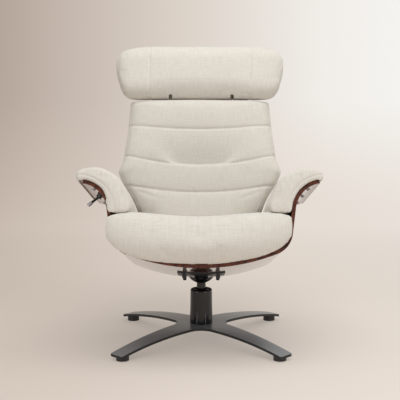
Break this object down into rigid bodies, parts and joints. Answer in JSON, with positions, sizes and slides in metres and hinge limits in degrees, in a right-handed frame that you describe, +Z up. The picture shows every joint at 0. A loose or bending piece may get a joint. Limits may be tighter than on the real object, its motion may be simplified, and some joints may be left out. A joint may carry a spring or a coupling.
{
  "type": "swivel recliner",
  "caption": "Lounge chair with a bent wood shell, curled padded arms, a reclining back, a sliding seat and a tilting headrest, turning on a star base.",
  "frame": {"origin": "centre of the swivel axis on the floor", "axes": "+Z up along the swivel axis, the sitter faces -Y, +X to the viewer's right from the front"},
  "size_m": [0.7724, 0.7582, 1.0098],
  "materials": {
    "fabric": "woven cream cloth",
    "wood": "lacquered dark walnut",
    "ply": "plain plywood",
    "black_metal": "satin black",
    "steel": "satin",
    "black_steel": "matt black",
    "black_plastic": "matt",
    "bearing_plastic": "smooth",
    "webbing": "woven strap",
    "cover_cloth": "woven cream cloth"
  },
  "bodies": {
    "base": {"star_base": "black_metal", "floor_glides": "black_plastic", "glide_screws": "steel", "column": "black_metal", "column_cap": "black_plastic", "base_bolt": "steel", "base_washer": "steel", "upper_bush": "bearing_plastic", "lower_bush": "bearing_plastic", "thrust_washer": "bearing_plastic"},
    "shell": {"stem": "steel", "retaining_ring": "steel", "stem_cover": "black_metal", "swivel_head": "black_steel", "mounting_plate": "black_metal", "plate_bolts": "steel", "plate_nuts": "black_metal", "floor_washers": "steel", "wood_shell": "wood", "arm_pad_left": "fabric", "arm_pad_right": "fabric", "pad_screws": "steel", "rail_bearers": "ply", "bearer_screws": "steel", "slide_rails": "steel", "rail_caps": "black_plastic", "gas_cylinder": "black_steel", "gas_saddles": "ply", "pivot_blocks": "ply", "pivot_block_screws": "steel", "pivot_bolts": "steel", "lever_bracket": "black_steel", "lever_screws": "steel", "lever_pin": "steel"},
    "lever": {"lever_arm": "black_steel", "lever_tip": "steel"},
    "seat": {"seat_frame": "ply", "seat_runners": "bearing_plastic", "seat_webbing": "webbing", "seat_cushion": "fabric", "slotted_brackets": "black_steel", "bracket_screws": "steel", "gas_rod": "steel", "rod_plate": "black_steel"},
    "back": {"back_frame": "black_steel", "hinge_plates": "black_steel", "pivot_bushes": "bearing_plastic", "slide_pins": "steel", "back_webbing": "webbing", "back_cushion": "fabric", "back_cover": "cover_cloth", "headrest_arms": "black_steel", "headrest_pins": "steel"},
    "headrest": {"headrest_board": "ply", "headrest_leaves": "black_steel", "headrest_cushion": "fabric"}
  },
  "joints": [
    {"name": "swivel", "type": "hinge", "parent": "base", "child": "shell", "pos_m": [0, 0, 0.15], "axis": [0, 0, 1], "continuous": true},
    {"name": "recline", "type": "hinge", "parent": "shell", "child": "back", "pos_m": [0, 0.12386, 0.37916], "axis": [-1, 0, 0], "range_deg": [0, 35]},
    {"name": "seat_slide", "type": "slide", "parent": "shell", "child": "seat", "axis": [0, -0.9659, 0.2588], "range_m": [0, 0.0542]},
    {"name": "headrest_tilt", "type": "hinge", "parent": "back", "child": "headrest", "pos_m": [0, 0.29197, 0.87028], "axis": [1, 0, 0], "range_deg": [0, 30]},
    {"name": "lever_pull", "type": "hinge", "parent": "shell", "child": "lever", "pos_m": [-0.32979, -0.16527, 0.51716], "axis": [0, 0.9659, -0.2588], "range_deg": [0, 20], "stiffness_Nm_per_rad": 0.4}
  ],
  "couplings": [
    {"joint": "seat_slide", "follows": "recline", "m_per_rad": 0.08861}
  ]
}
